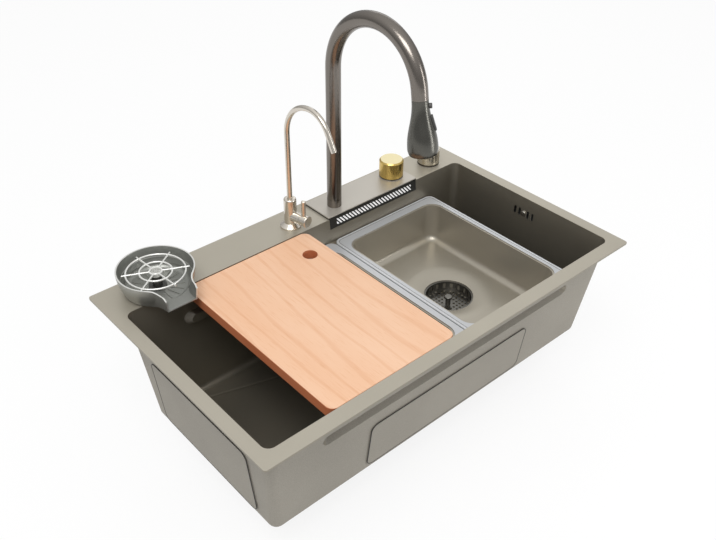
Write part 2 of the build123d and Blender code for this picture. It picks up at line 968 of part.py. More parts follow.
def rinser_bowl(inset, floor):
    """Outside or inside of the cup, turned about the rinser's axis."""
    rim = rim_top + rinser_height
    top = rinser_rim_radius - inset
    belly = rinser_belly_radius - inset
    foot = rinser_foot_radius - inset
    low = rim_top + floor
    middle = low + rinser_belly_level
    lower = ThreePointArc((foot, low), (belly - 2.4, low + 2.4), (belly, middle))
    side = ThreePointArc((belly, middle), (belly + 4.6, middle + 12), (top, rim))
    outline = Polyline((top, rim), (0, rim), (0, low), (foot, low))
    return revolve(Plane.XZ * make_face([lower, side, outline]), axis=Axis.Z)


def rinser_plan(level, inset, reach):
    """Level section of the spout: tangent to the cup, then straight to the lip."""
    share = (level - rinser_belly_level) / (rinser_height - rinser_belly_level)
    radius = rinser_belly_radius + share * (rinser_rim_radius - rinser_belly_radius) - inset
    width = rinser_lip_width + share * (rinser_mouth_width - rinser_lip_width)
    turn = math.radians(rinser_spout_turn)
    start = (radius * math.sin(turn), -radius * math.cos(turn))
    lip = (width / 2 - inset, -reach)
    side = Spline(start, lip, tangents=[(-math.cos(turn), -math.sin(turn)), (0, -1)])
    other = mirror(side, about=Plane.YZ)
    outline = [side, Line(side @ 1, other @ 1), other, Line(other @ 0, side @ 0)]
    return (Pos(0, 0, rim_top + level) * make_face(outline)).face()


def rinser_channel(inset, floor, lip_height, reach):
    """Outside or inside of the spout, over its sloping floor."""
    high = rinser_height + 6
    walls = loft([rinser_plan(0, inset, reach), rinser_plan(high, inset, reach)], ruled=True)
    root = rim_top + floor + rinser_root_rise
    profile = Polyline(
        (0, root),
        (-rinser_spout_root, root),
        (-reach, rim_top + lip_height),
        (-reach, rim_top + high),
        (0, rim_top + high),
        close=True,
    )
    return walls & extrude(Plane.YZ * make_face(profile), amount=rinser_rim_radius, both=True)


def rinser_rim_cut():
    """Takes the spout's cheeks down to the lip round a soft corner."""
    rim = rim_top + rinser_height
    cheek = rim_top + rinser_cheek_height
    front = -rinser_spout_reach
    turn = rinser_cheek_round
    share = 1 - math.sqrt(0.5)
    corner = ThreePointArc(
        (front - 1, cheek - turn),
        (front - 1 + share * (turn + 1), cheek - share * turn),
        (front + turn, cheek),
    )
    rise = Spline(corner @ 1, (-rinser_spout_root, rim), tangents=[(1, 0), (1, 0.04)])
    outline = Polyline(
        (-rinser_spout_root, rim),
        (-rinser_spout_root, rim + 20),
        (front - 1, rim + 20),
        (front - 1, cheek - turn),
    )
    face = Plane.YZ * make_face([corner, rise, outline])
    return extrude(face, amount=rinser_rim_radius + 5, both=True)


def make_rinser_body():
    lip_under = rinser_lip_height - rinser_lip_edge
    beyond = rinser_spout_reach + 0.5
    outside = rinser_bowl(0, 0) + rinser_channel(0, 0, lip_under, rinser_spout_reach)
    inside = rinser_bowl(rinser_wall, rinser_floor)
    inside += rinser_channel(rinser_wall, rinser_floor, rinser_lip_height, beyond)
    body = outside - inside - rinser_rim_cut()
    floor = rim_top + rinser_floor
    for number in range(rib_count):
        rib = Pos(30, 0, floor - 0.2) * Box(22, 1.6, rib_height + 0.2, align=up)
        body += Rot(0, 0, 360 * number / rib_count + 10) * rib
    body -= rod(rinser_shank_radius + running_fit, rim_top - 1, floor + 2)
    return at(rinser_x, rinser_y, body)


pieces["rinser_body"] = make_rinser_body()


def make_nozzle():
    floor = rim_top + rinser_floor
    top = rim_top + grille_level + grille_wire
    nozzle = rod(nozzle_radius, floor, top)
    nozzle = fillet(nozzle.faces().sort_by(Axis.Z)[-1].edges(), 2.0)
    nozzle += rod(rinser_shank_radius + 4, floor, floor + 3)
    for number in range(6):
        hole = Pos(4.0, 0, top - 4) * Cylinder(nozzle_hole, 6, align=up)
        nozzle -= Rot(0, 0, 60 * number) * hole
    return at(rinser_x, rinser_y, nozzle)


pieces["rinser_nozzle"] = make_nozzle()


def make_rinser_grille():
    level = rim_top + grille_level + grille_wire / 2
    wire = grille_wire / 2
    hub = rod(nozzle_radius + 2.9, level - 4, level + wire, nozzle_radius + running_fit)
    grille = hub
    for radius in grille_rings:
        grille += Pos(0, 0, level) * Torus(radius, wire)
    start = nozzle_radius + 1.5
    spoke = Rot(0, 90, 0) * Cylinder(wire * 0.9, spoke_reach - start, align=up)
    for number in range(grille_spokes):
        turn = spoke_start + 360 * number / grille_spokes
        grille += Pos(0, 0, level + 0.4) * Rot(0, 0, turn) * Pos(start, 0, 0) * spoke
    return at(rinser_x, rinser_y, grille)


pieces["rinser_grille"] = make_rinser_grille()
pieces["rinser_shank"] = at(
    rinser_x, rinser_y, shank(rinser_shank_radius, deck_top - shank_length, rim_top + rinser_floor, 5.5)
)
pieces["rinser_washer"] = at(rinser_x, rinser_y, washer(rinser_shank_radius, 18.0))
pieces["rinser_nut"] = at(rinser_x, rinser_y, fixing_nut(rinser_shank_radius))


# Cutting board and its battens

board_x = board_left + board_length / 2


def make_board():
    foot_width = board_width - 2 * side_slope * board_thickness
    top = Pos(board_x, opening_y, board_top) * RectangleRounded(board_length, board_width, board_corner)
    foot = Pos(board_x, opening_y, board_bottom) * RectangleRounded(board_length, foot_width, board_corner)
    board = loft([foot.face(), top.face()], ruled=True)
    board = fillet(board.faces().sort_by(Axis.Z)[-1].edges(), board_round)
    hole_x = board_left + board_length - finger_inset_x
    hole_y = opening_y + board_width / 2 - finger_inset_y
    board -= Pos(hole_x, hole_y, board_bottom) * Cylinder(finger_radius, board_thickness, align=up)
    return board


pieces["cutting_board"] = make_board()


def make_battens():
    low = tray_rim_top + rest_gap
    height = board_bottom - low
    length = board_length - 2 * batten_inset
    reach = tray_width / 2 - batten_edge / 2 - batten_width / 2
    battens = []
    for side in (-1, 1):
        batten = Box(length, batten_width, height, align=up)
        battens.append((Pos(board_x, opening_y + side * reach, low) * batten).solid())
    return Compound(children=battens)


pieces["board_battens"] = make_battens()


# Trays on the ledge: the wash basin and the drain basket

def tray_section(length, width, height, corner):
    return (Pos(0, 0, height) * RectangleRounded(length, width, corner)).face()


def tray_room(grow, floor):
    """Inside of the tray, or its outside when grown by the sheet."""
    length = tray_length - 2 * tray_side_flange - 2 * tray_step + 2 * grow
    width = tray_width - 2 * tray_end_flange - 2 * tray_step + 2 * grow
    corner = tray_wall_corner + grow
    top = tray_section(length, width, tray_rim_top - tray_step_depth, corner)
    foot = tray_section(length - 2 * tray_lean, width - 2 * tray_lean, floor, corner)
    room = loft([top, foot], ruled=True)
    return fillet(room.faces().sort_by(Axis.Z)[0].edges(), tray_floor_round + grow)


def make_tray():
    """Pressed tray with a folded rim, standing on the ledge, on its own centre."""
    floor = tray_rim_top - tray_depth
    low = ledge_top + rest_gap
    rim = extrude(RectangleRounded(tray_length, tray_width, tray_corner), amount=tray_rim_height)
    rim = Pos(0, 0, low) * rim
    rim = fillet(rim.faces().sort_by(Axis.Z)[-1].edges(), 1.2)
    step_length = tray_length - 2 * tray_side_flange
    step_width = tray_width - 2 * tray_end_flange
    step = Pos(0, 0, tray_rim_top - tray_step_depth) * extrude(
        RectangleRounded(step_length, step_width, tray_wall_corner + tray_step), amount=tray_step_depth + 1
    )
    body = rim + tray_room(tray_sheet, floor - tray_sheet)
    return body - step


basin_x = basin_left + tray_length / 2
basket_x = basket_left + tray_length / 2
tray_floor = tray_rim_top - tray_depth


basin_seat = tray_floor - dish_depth
basin_cup_low = basin_seat - basin_drain_depth


def dish(lower, top):
    """Shallow dish round the basin's drain, up to a level; lower drops its side by the sheet."""
    start = (dish_radius, tray_floor - lower)
    seat = (basin_drain_radius, basin_seat - lower)
    side = Spline(start, seat, tangents=[(-1, -0.02), (-1, -0.25)])
    rest = Polyline(seat, (0, basin_seat - lower), (0, top), (dish_radius, top), start)
    return revolve(Plane.XZ * make_face([side, rest]), axis=Axis.Z)


def make_basin():
    drain = Pos(drain_x - basin_x, drain_y - opening_y, 0)
    outer_cup = rod(basin_drain_radius + tray_sheet, basin_cup_low - tray_sheet, basin_seat)
    inner_cup = rod(basin_drain_radius, basin_cup_low, basin_seat + 1)
    body = make_tray() + drain * dish(tray_sheet, tray_floor) + drain * outer_cup
    body -= tray_room(0, tray_floor)
    body -= drain * dish(0, tray_floor + 1)
    body -= drain * inner_cup
    body -= drain * rod(basin_drain_seat, basin_cup_low - 5, basin_cup_low + 1)
    return Pos(basin_x, opening_y, 0) * body


pieces["wash_basin"] = make_basin()


def make_basket():
    body = make_tray() - tray_room(0, tray_floor)
    slot = extrude(SlotOverall(basket_slot_length, basket_slot_width), amount=10, both=True)
    pitch_x = basket_slot_length + basket_slot_gap
    pitch_y = (tray_width - 2 * basket_slot_margin) / (basket_slot_rows - 1)
    for column in range(basket_slot_columns):
        for row in range(basket_slot_rows):
            slot_x = (column - (basket_slot_columns - 1) / 2) * pitch_x
            slot_y = (row - (basket_slot_rows - 1) / 2) * pitch_y
            body -= Pos(slot_x, slot_y, tray_floor) * slot
    return Pos(basket_x, opening_y, 0) * body


pieces["drain_basket"] = make_basket()


# Strainer basket in the basin's drain, with the post it is lifted by

strainer_low = basin_cup_low + rest_gap
strainer_floor = strainer_low + strainer_sheet


def make_strainer():
    outer = basin_drain_radius - strainer_rim
    high = strainer_low + strainer_height
    body = rod(outer, strainer_low, high) - rod(outer - strainer_sheet, strainer_floor, high + 1)
    body += rod(basin_drain_radius - hole_clearance, high - strainer_sheet, high, outer - strainer_sheet)
    centre = strainer_low + strainer_height / 2
    cuts = []
    for number in range(strainer_window_count):
        window = Pos(outer, 0, centre) * Box(10, strainer_window_width, strainer_window_height)
        cuts.append(Rot(0, 0, 360 * number / strainer_window_count) * window)
    limit = outer - strainer_hole
    steps = int(limit // strainer_pitch)
    hole = Cylinder(strainer_hole / 2, strainer_sheet * 3)
    for column in range(-steps, steps + 1):
        for row in range(-steps, steps + 1):
            distance = math.hypot(column, row) * strainer_pitch
            if strainer_post_radius + strainer_hole < distance < limit:
                place = Pos(column * strainer_pitch, row * strainer_pitch, strainer_low)
                cuts.append(place * hole)
    return at(drain_x, drain_y, body - cuts)


pieces["basin_strainer"] = make_strainer()


def make_handle():
    low = strainer_floor
    neck = low + strainer_post_height
    post = rod(strainer_post_radius, low, neck)
    knob = rod(strainer_knob_radius, neck, neck + strainer_knob_height)
    knob = fillet(knob.edges(), 1.5)
    return at(drain_x, drain_y, post + knob)


pieces["strainer_handle"] = make_handle()


# Main drain under the bowl

drain_flange_top = floor_top + drain_flange_height
drain_cup_floor = drain_flange_top - drain_cup_depth
drain_cup_under = drain_cup_floor - drain_cup_wall


def make_drain_body():
    outer = drain_cup_radius
    inner = drain_cup_radius - drain_cup_wall
    points = [
        (drain_flange_radius, floor_top),
        (drain_flange_radius - 1.2, drain_flange_top),
        (inner, drain_flange_top),
        (inner, drain_cup_floor),
        (tail_radius - tail_wall, drain_cup_floor),
        (tail_radius - tail_wall, drain_cup_under),
        (outer, drain_cup_under),
        (outer, floor_top),
    ]
    return at(drain_x, drain_y, turned(*points))


pieces["drain_body"] = make_drain_body()
pieces["drain_tail"] = at(
    drain_x, drain_y,
    rod(tail_radius, drain_cup_floor - tail_length, drain_cup_under, tail_radius - tail_wall),
)
pieces["drain_gasket"] = at(
    drain_x, drain_y, rod(drain_flange_radius, bowl_bottom - 3, bowl_bottom, drain_cup_radius)
)


def make_drain_nut():
    top = bowl_bottom - 3
    nut = rod(drain_nut_radius, top - drain_nut_height, top)
    for number in range(8):
        notch = Pos(drain_nut_radius + 2, 0, top - drain_nut_height / 2) * Cylinder(6, drain_nut_height)
        nut -= Rot(0, 0, 45 * number) * notch
    return at(drain_x, drain_y, nut - rod(drain_cup_radius, top - drain_nut_height, top))


pieces["drain_nut"] = make_drain_nut()

sieve_top = drain_cup_floor + 12.0


def make_sieve():
    inner = drain_cup_radius - drain_cup_wall
    sieve = rod(inner, sieve_top - sieve_height, sieve_top)
    sieve += rod(inner, drain_cup_floor, sieve_top - sieve_height, inner - 2)
    hole = Cylinder(sieve_hole, sieve_height + 2)
    for radius, count in ((15.0, 6), (29.0, 12)):
        for number in range(count):
            angle = math.radians(360 * number / count)
            place = Pos(radius * math.cos(angle), radius * math.sin(angle), sieve_top - sieve_height / 2)
            sieve -= place * hole
    sieve += rod(plug_stem_radius + 3, sieve_top, sieve_top + 8)
    stem_hole = rod(plug_stem_radius + running_fit, drain_cup_floor, sieve_top + 9)
    return at(drain_x, drain_y, sieve - stem_hole)


pieces["drain_sieve"] = make_sieve()


def make_plug():
    low = drain_flange_top + rest_gap
    high = low + plug_height
    cap = turned((0, low), (plug_radius + 4, low), (plug_radius + 3, high), (0, high + 2))
    seal = rod(plug_radius, low - 6, low, plug_radius - 4)
    stem = rod(plug_stem_radius, sieve_top - sieve_height - 4, low)
    return at(drain_x, drain_y, cap + seal + stem)


pieces["drain_plug"] = make_plug()


# Overflow: screw inside, gasket and housing outside the right wall

overflow_wall = wall_plane(1, 0)
overflow_shift = overflow_y - opening_y
overflow_middle = -(overflow_slot_top + overflow_slot_height / 2)
overflow_centre = -(overflow_box_top + overflow_box_height / 2)


def make_overflow_gasket():
    frame = RectangleRounded(overflow_box_length, overflow_box_height, overflow_box_corner)
    hole = RectangleRounded(overflow_box_length - 10, overflow_box_height - 10, 4)
    gasket = extrude(frame - hole, amount=overflow_gasket)
    return wall_plane(1, 0, sheet) * Pos(overflow_shift, overflow_centre, 0) * gasket


pieces["overflow_gasket"] = make_overflow_gasket()


def make_overflow_housing():
    wall = overflow_box_wall
    depth = overflow_box_depth
    outline = RectangleRounded(overflow_box_length, overflow_box_height, overflow_box_corner)
    room_outline = RectangleRounded(
        overflow_box_length - 2 * wall, overflow_box_height - 2 * wall, overflow_box_corner - wall
    )
    outer = extrude(outline, amount=depth)
    outer = fillet(outer.faces().sort_by(Axis.Z)[-1].edges(), 2.5)
    room = extrude(room_outline, amount=depth - wall)
    root = Pos(0, wall - overflow_box_height / 2, depth / 2) * Rot(90, 0, 0)
    bore = overflow_spigot_radius - overflow_spigot_wall
    spigot = root * rod(overflow_spigot_radius, 0, wall + overflow_spigot_length)
    collar = root * rod(overflow_collar_radius, 0, wall + overflow_collar_length)
    passage = root * rod(bore, -2 * wall, wall + overflow_spigot_length + 1)
    screw = Pos(0, overflow_middle - overflow_centre, 0)
    boss = screw * rod(5.0, 0, depth - 1)
    thread = screw * rod(overflow_thread_radius + rest_gap, 0, depth - 3)
    housing = outer - room + spigot + collar - passage + boss - thread
    place = wall_plane(1, 0, sheet) * Pos(overflow_shift, overflow_centre, overflow_gasket)
    return place * housing


pieces["overflow_housing"] = make_overflow_housing()


def make_overflow_screw():
    head = Pos(0, 0, -2.2) * Cylinder(overflow_screw_radius, 2.2, align=up)
    head = fillet(head.faces().sort_by(Axis.Z)[0].edges(), 1.0)
    shaft = Cylinder(overflow_thread_radius, sheet + overflow_gasket + 9, align=up)
    return overflow_wall * Pos(overflow_shift, overflow_middle, 0) * (head + shaft)


pieces["overflow_screw"] = make_overflow_screw()


for name, piece in pieces.items():
    export_step(piece, f"parts/{name}.step")
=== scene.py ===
import math

import bmesh
import bpy
from mathutils import Matrix, Vector


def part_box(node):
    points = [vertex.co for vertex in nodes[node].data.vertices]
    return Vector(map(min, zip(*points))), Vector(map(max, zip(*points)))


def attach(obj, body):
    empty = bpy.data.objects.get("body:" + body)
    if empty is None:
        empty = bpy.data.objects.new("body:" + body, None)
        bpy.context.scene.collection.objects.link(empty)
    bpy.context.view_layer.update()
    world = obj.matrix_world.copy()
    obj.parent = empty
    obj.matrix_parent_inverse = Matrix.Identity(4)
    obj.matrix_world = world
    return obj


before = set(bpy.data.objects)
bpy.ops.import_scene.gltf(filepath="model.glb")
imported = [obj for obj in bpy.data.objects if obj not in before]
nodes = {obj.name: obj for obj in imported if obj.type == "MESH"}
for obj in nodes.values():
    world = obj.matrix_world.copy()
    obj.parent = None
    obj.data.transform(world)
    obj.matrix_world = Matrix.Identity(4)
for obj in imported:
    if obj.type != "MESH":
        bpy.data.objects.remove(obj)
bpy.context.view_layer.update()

# A multifunction kitchen sink with its taps, cup rinser, board, basin and drain basket.
# Sizes and places are in metres. The origin is the middle of the rim's outline on the worktop,
# +X runs along the sink, +Y to the taps and +Z up.

# Camera at the photograph's angle
CAMERA_AT = Vector((-0.75573, -0.81716, 0.81945))
CAMERA_AZIMUTH = math.radians(-41.7173)
CAMERA_ELEVATION = math.radians(36.3811)
CAMERA_ROLL = math.radians(0.6015)
CAMERA_LENS = 43.57
SENSOR_WIDTH = 36.0
CLIP_START = 0.02
CLIP_END = 60.0

# Floor just under the lowest fitting: its tone, and the share of it that shows as plain white
FLOOR_Z = -0.2645
FLOOR_SIZE = 14.0
FLOOR_TONE = 0.85
FLOOR_WHITE_SHARE = 0.85

# Studio surround: grey from the horizon down, and palest from this far up
WORLD_GREY = 0.34
WORLD_PALE = 0.95
WORLD_PALE_FROM = 0.9

# Painted light: a faint glow on the thin white flow straightener behind the grille, though it is no lamp
STRAIGHTENER_PAINTED_GLOW = 0.35

# Sink bowl: half its length and width inside at the rim, and how far its walls lean in down to its floor
RIM_TOP = 0.003
SHEET = 0.0015
BOWL_DEPTH = 0.197
BOWL_MIDDLE_Y = -0.0246
HALF_LENGTH = 0.354
HALF_WIDTH = 0.1761
END_LEAN = 0.0185
SIDE_LEAN = 0.0229

# Channels that the accessory ledge leaves outside the long walls: their heights and half their length
CHANNEL_LOW = -0.07
CHANNEL_HIGH = -0.04
CHANNEL_REACH = 0.27

# Sound pads: thickness, corner, and length, top and bottom below the rim's top
PAD_THICKNESS = 0.002
PAD_CORNER = 0.012
SIDE_PAD_LENGTH = 0.338
SIDE_PAD_TOP = 0.091
END_PAD_LENGTH = 0.240
END_PAD_TOP = 0.056
PAD_BOTTOM = 0.182

# Painted shade round a pad, a dark bead along the pad's edge: its radius, and how deep its middle lies under
# the pad's face
SHADE_LINE_RADIUS = 0.0008
SHADE_LINE_SUNK = 0.0003

# Trays: the frame's faces lie above the first height, and those that face outward above the second
TRAY_FRAME_FROM = -0.0397
TRAY_FRAME_SIDE_FROM = -0.0421

# Raised lines on the basin's frame: how far they stand above it
BEAD_PROUD = 0.0002

# Faces are told apart by how much they face up or forward, and by their height
FACES_UP = 0.5
LEVEL_FACES_UP = 0.6
CUP_RIM_FACES_UP = 0.3
LIP_FACES_FRONT = 0.9
KNOB_TOP_FACES_UP = 0.8
MARGIN = 0.0002
BOWL_RIM_DEPTH = 0.0005
CUP_RIM_FROM = 0.02
KNOB_TOP_DEPTH = 0.002
NOZZLE_CAP_DEPTH = 0.003

# Threads of the shanks under the ledge. A ridge is a thin tube with a radius that is a share of the pitch.
SHANK_THREAD_LOW = -0.0355
SHANK_THREAD_HIGH = -0.0105
RIDGE_SHARE = 0.3
RIDGE_SIDES = 6
STEPS_PER_TURN = 24

# Fineness of the round beads and of their corners
BEAD_SIDES = 8
CORNER_STEPS = 8

# Strength of brushed metal's streaks against its clouds, and the share of a wood tone left where it reddens
STREAK_TO_CLOUD = 1.6
BLUSH = (0.95, 0.87, 0.80)

# Specular level of surfaces that shine less than plain plastic
DULL_SPECULAR = 0.35

# Sprayed coat: how far its tone goes up and down, and its darkest and lightest speckles
COAT_CLOUD = 0.07
SPECKLE_DARK = 0.84
SPECKLE_LIGHT = 1.12

# Numbers of a Mix node's sockets for its two colours and the mixed one
MIX_FIRST = 6
MIX_SECOND = 7
MIX_RESULT = 2


def colour(red, green, blue):
    """A display colour (sRGB, 0 to 255) as the linear values that a shader takes."""
    def linear(value):
        value = value / 255
        return value / 12.92 if value <= 0.04045 else ((value + 0.055) / 1.055) ** 2.4
    return (linear(red), linear(green), linear(blue), 1.0)


def scaled(tone, factor):
    return (tone[0] * factor, tone[1] * factor, tone[2] * factor, 1.0)


def grey(level):
    return (level, level, level, 1.0)


WHITE = grey(1.0)


class Shader:
    """One node material, with helpers that add its patterns in the object's own coordinates."""

    def __init__(self, name):
        self.material = bpy.data.materials.new(name)
        self.material.use_nodes = True
        self.tree = self.material.node_tree
        self.surface = self.tree.nodes["Principled BSDF"]
        self.place = self.tree.nodes.new("ShaderNodeTexCoord").outputs["Object"]

    def link(self, source, target):
        self.tree.links.new(source, target)

    def stretch(self, scale, turn=(0.0, 0.0, 0.0)):
        """The object's coordinates scaled and turned. A small scale draws a pattern out along that axis."""
        node = self.tree.nodes.new("ShaderNodeMapping")
        node.inputs["Scale"].default_value = scale
        node.inputs["Rotation"].default_value = turn
        self.link(self.place, node.inputs["Vector"])
        return node.outputs["Vector"]

    def noise(self, vector, scale, detail, rough):
        node = self.tree.nodes.new("ShaderNodeTexNoise")
        node.inputs["Scale"].default_value = scale
        node.inputs["Detail"].default_value = detail
        node.inputs["Roughness"].default_value = rough
        self.link(vector, node.inputs["Vector"])
        return node.outputs["Fac"]

    def rings(self, vector, scale, distortion, detail, detail_scale):
        """Wavy rings round the Y axis, as in sawn wood."""
        node = self.tree.nodes.new("ShaderNodeTexWave")
        node.wave_type = "RINGS"
        node.rings_direction = "Y"
        node.inputs["Scale"].default_value = scale
        node.inputs["Distortion"].default_value = distortion
        node.inputs["Detail"].default_value = detail
        node.inputs["Detail Scale"].default_value = detail_scale
        self.link(vector, node.inputs["Vector"])
        return node.outputs["Fac"]

    def spread(self, value, low, high, start=0.25, stop=0.75):
        """A value from low to high, while the given one goes from start to stop, where most noise lies."""
        node = self.tree.nodes.new("ShaderNodeMapRange")
        node.inputs["From Min"].default_value = start
        node.inputs["From Max"].default_value = stop
        node.inputs["To Min"].default_value = low
        node.inputs["To Max"].default_value = high
        self.link(value, node.inputs["Value"])
        return node.outputs["Result"]

    def blend(self, factor, first, second, way="MIX"):
        """A colour mix. first and second are colours or sockets."""
        node = self.tree.nodes.new("ShaderNodeMix")
        node.data_type = "RGBA"
        node.blend_type = way
        if isinstance(factor, float):
            node.inputs["Factor"].default_value = factor
        else:
            self.link(factor, node.inputs["Factor"])
        for value, socket in ((first, node.inputs[MIX_FIRST]), (second, node.inputs[MIX_SECOND])):
            if isinstance(value, tuple):
                socket.default_value = value
            else:
                self.link(value, socket)
        return node.outputs[MIX_RESULT]

    def clouds(self, tone, swing, scale, detail):
        """A tone that goes slowly up and down by a share of itself."""
        slow = self.noise(self.place, scale, detail, rough=0.5)
        level = self.spread(slow, low=0.0, high=1.0)
        return self.blend(level, scaled(tone, 1 - swing), scaled(tone, 1 + swing))

    def times(self, first, second):
        """One colour multiplied by another."""
        return self.blend(1.0, first, second, "MULTIPLY")

    def maths(self, operation, first, second=0.0):
        node = self.tree.nodes.new("ShaderNodeMath")
        node.operation = operation
        for value, socket in zip((first, second), node.inputs):
            if isinstance(value, float):
                socket.default_value = value
            else:
                self.link(value, socket)
        return node.outputs[0]

    def bump(self, height, strength, depth, below=None):
        """A bump of the surface, laid over the one below where there is one."""
        node = self.tree.nodes.new("ShaderNodeBump")
        node.inputs["Strength"].default_value = strength
        node.inputs["Distance"].default_value = depth
        self.link(height, node.inputs["Height"])
        if below is not None:
            self.link(below, node.inputs["Normal"])
        return node.outputs["Normal"]

    def facing_up(self):
        """The upward part of the surface's own direction."""
        node = self.tree.nodes.new("ShaderNodeNewGeometry")
        split = self.tree.nodes.new("ShaderNodeSeparateXYZ")
        self.link(node.outputs["Normal"], split.inputs["Vector"])
        return split.outputs["Z"]


def metal(name, tone, roughness, lines, grain, uneven, relief, cloud, metallic=1.0):
    """Metal with a fine brushed grain and a slow unevenness of tone.

    lines draws the grain out along one direction, and grain is its scale. uneven is how far the roughness
    goes up and down with the grain, relief is the strength of the grain's bump, and cloud is how far the tone
    goes up and down.
    """
    made = Shader(name)
    fine = made.noise(made.stretch(lines), grain, detail=4.0, rough=0.6)
    shade = made.clouds(tone, cloud, scale=9.0, detail=2.0)
    streak = made.blend(made.spread(fine, low=0.0, high=1.0), grey(1 - STREAK_TO_CLOUD * cloud), WHITE)
    made.link(made.times(shade, streak), made.surface.inputs["Base Color"])
    made.link(made.spread(fine, roughness - uneven, roughness + uneven), made.surface.inputs["Roughness"])
    made.link(made.bump(fine, relief, depth=0.0002), made.surface.inputs["Normal"])
    made.surface.inputs["Metallic"].default_value = metallic
    return made.material


def moulded(name, tone, roughness, uneven=0.05, cloud=0.06):
    """Plastic or rubber with a fine moulded grain."""
    made = Shader(name)
    fine = made.noise(made.place, scale=1600.0, detail=2.0, rough=0.5)
    made.link(made.clouds(tone, cloud, scale=14.0, detail=3.0), made.surface.inputs["Base Color"])
    made.link(made.spread(fine, roughness - uneven, roughness + uneven), made.surface.inputs["Roughness"])
    made.link(made.bump(fine, strength=0.08, depth=0.0003), made.surface.inputs["Normal"])
    return made.material


def sprayed(name, tone):
    """The coarse sound-deadening coat on the sink's outside: grainy, with speckles of light and dark."""
    made = Shader(name)
    fine = made.noise(made.place, scale=1100.0, detail=3.0, rough=0.6)
    coarse = made.noise(made.place, scale=320.0, detail=2.0, rough=0.5)
    shade = made.clouds(tone, COAT_CLOUD, scale=7.0, detail=2.0)
    contrast = made.spread(fine, low=0.0, high=1.0, start=0.35, stop=0.65)
    speckle = made.blend(contrast, grey(SPECKLE_DARK), grey(SPECKLE_LIGHT))
    made.link(made.times(shade, speckle), made.surface.inputs["Base Color"])
    made.link(made.spread(fine, low=0.55, high=0.75), made.surface.inputs["Roughness"])
    made.surface.inputs["Specular IOR Level"].default_value = DULL_SPECULAR
    grains = made.bump(fine, strength=0.35, depth=0.0003)
    made.link(made.bump(coarse, strength=0.2, depth=0.0004, below=grains), made.surface.inputs["Normal"])
    return made.material


def blushed(tone):
    """The same wood tone, a little darker and redder."""
    return (tone[0] * BLUSH[0], tone[1] * BLUSH[1], tone[2] * BLUSH[2], 1.0)


def wood(name, top, side, line):
    """Oiled wood with faint cathedral grain along Y. Faces that do not face up or down are darker and redder
    than the rest.
    """
    made = Shader(name)
    ringed = made.stretch((1.0, 0.22, 1.0), turn=(0.0, 0.0, 0.05))
    ring = made.rings(ringed, scale=11.0, distortion=11.0, detail=2.0, detail_scale=0.7)
    pore = made.noise(made.stretch((1.0, 0.05, 1.0)), scale=700.0, detail=3.0, rough=0.6)
    slow = made.noise(made.stretch((1.0, 0.3, 1.0)), scale=11.0, detail=3.0, rough=0.55)
    up = made.maths("ABSOLUTE", made.facing_up())
    patches = made.spread(slow, low=0.0, high=0.9, start=0.35, stop=0.7)
    level_faces = made.blend(patches, top, blushed(top))
    face = made.blend(made.maths("GREATER_THAN", up, LEVEL_FACES_UP), side, level_faces)
    ring_lines = made.spread(ring, low=0.0, high=0.32, start=0.84, stop=1.0)
    banded = made.blend(ring_lines, face, made.times(face, line))
    flecks = made.spread(pore, low=0.0, high=0.5, start=0.55, stop=0.75)
    flecked = made.blend(flecks, banded, made.times(banded, line))
    made.link(flecked, made.surface.inputs["Base Color"])
    made.link(made.spread(pore, low=0.45, high=0.56), made.surface.inputs["Roughness"])
    made.surface.inputs["Specular IOR Level"].default_value = DULL_SPECULAR
    made.link(made.bump(pore, strength=0.08, depth=0.0002), made.surface.inputs["Normal"])
    return made.material


def give_painted_glow(material, strength):
    """A faint painted white glow of the material's own, though it is no lamp."""
    surface = material.node_tree.nodes["Principled BSDF"]
    surface.inputs["Emission Color"].default_value = WHITE
    surface.inputs["Emission Strength"].default_value = strength


# Steel of the sink, its deck, its trays and its drains
SHEET_GRAIN = dict(lines=(1.0, 0.3, 0.3), grain=1500.0, uneven=0.05, relief=0.04, cloud=0.03)
PLATE_GRAIN = dict(lines=(0.2, 1.0, 1.0), grain=1500.0, uneven=0.05, relief=0.04, cloud=0.03)
FRAME_GRAIN = dict(lines=(1.0, 0.2, 1.0), grain=1400.0, uneven=0.05, relief=0.03, metallic=0.45)
coated_steel = metal("coated_steel", colour(178, 172, 158), roughness=0.43, metallic=0.6, **SHEET_GRAIN)
bowl_inside = metal("bowl_inside", colour(150, 144, 131), roughness=0.42, metallic=0.85, **SHEET_GRAIN)
coat_outside = sprayed("coat_outside", colour(146, 141, 131))
plate_steel = metal("plate_steel", colour(188, 183, 174), roughness=0.4, metallic=0.6, **PLATE_GRAIN)
tray_inside = metal("tray_inside", colour(168, 162, 149), roughness=0.34, metallic=0.65, **SHEET_GRAIN)
tray_frame = metal("tray_frame", colour(192, 194, 196), roughness=0.4, cloud=0.03, **FRAME_GRAIN)
# A paler copy of the frame steel, for a painted highlight along the basin frame's fold.
frame_painted_highlight = metal("frame_painted_highlight", colour(228, 230, 232), roughness=0.3, cloud=0.02, **FRAME_GRAIN)
strainer_dark = metal(
    "strainer_dark", colour(120, 118, 113), roughness=0.3,
    lines=(1.0, 1.0, 0.2), grain=1200.0, uneven=0.05, relief=0.04, cloud=0.05,
)
fitting_steel = metal(
    "fitting_steel", colour(200, 197, 190), roughness=0.3,
    lines=(1.0, 1.0, 0.05), grain=1300.0, uneven=0.06, relief=0.06, cloud=0.04,
)

# Waterfall
grille_black = metal(
    "grille_black", colour(52, 51, 48), roughness=0.42,
    lines=(0.05, 1.0, 1.0), grain=1200.0, uneven=0.05, relief=0.04, cloud=0.05, metallic=0.5,
)
white_plastic = moulded("white_plastic", colour(255, 255, 255), roughness=0.4, cloud=0.02)
# The straightener gets a painted glow that makes it look lit from behind.
give_painted_glow(white_plastic, STRAIGHTENER_PAINTED_GLOW)

